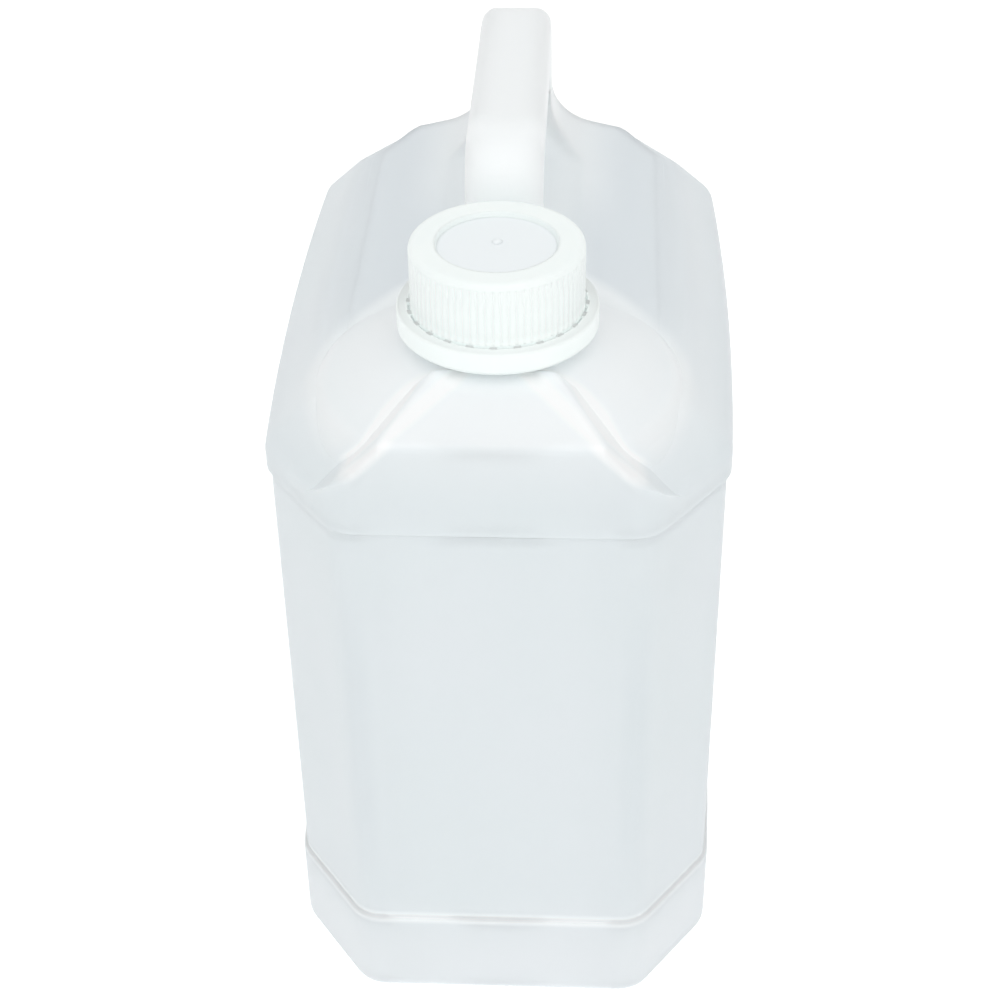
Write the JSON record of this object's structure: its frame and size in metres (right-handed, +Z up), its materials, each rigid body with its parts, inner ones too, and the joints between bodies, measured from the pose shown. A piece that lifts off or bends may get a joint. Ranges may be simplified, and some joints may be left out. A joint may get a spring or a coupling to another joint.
{
  "type": "detergent jug",
  "caption": "Translucent blow-moulded jug with a long octagonal body, hollow top handle, and a white screw cap over a tamper band at one end.",
  "frame": {"origin": "middle of the jug's footprint, on the surface it stands on", "axes": "+Z up, -Y towards the neck and screw cap, +X to the right when looking at the neck end"},
  "size_m": [0.1344, 0.214, 0.2585],
  "materials": {
    "jug": "natural translucent polyethylene with a soft satin skin",
    "closure": "white polypropylene, smooth satin",
    "wad": "white foamed sealing wad"
  },
  "bodies": {
    "jug": {"jug_body": "jug", "tamper_band": "closure"},
    "wad": {"cap_liner": "wad"},
    "cap": {"screw_cap": "closure"}
  },
  "joints": [
    {"name": "cap_rise", "type": "slide", "parent": "jug", "child": "wad", "axis": [0, 0, 1], "range_m": [0, 0.0152]},
    {"name": "cap_turn", "type": "hinge", "parent": "wad", "child": "cap", "pos_m": [0, -0.062, 0.24], "axis": [0, 0, 1], "range_deg": [0, 1080]}
  ],
  "couplings": [
    {"joint": "cap_rise", "follows": "cap_turn", "m_per_rad": 0.00079577}
  ]
}
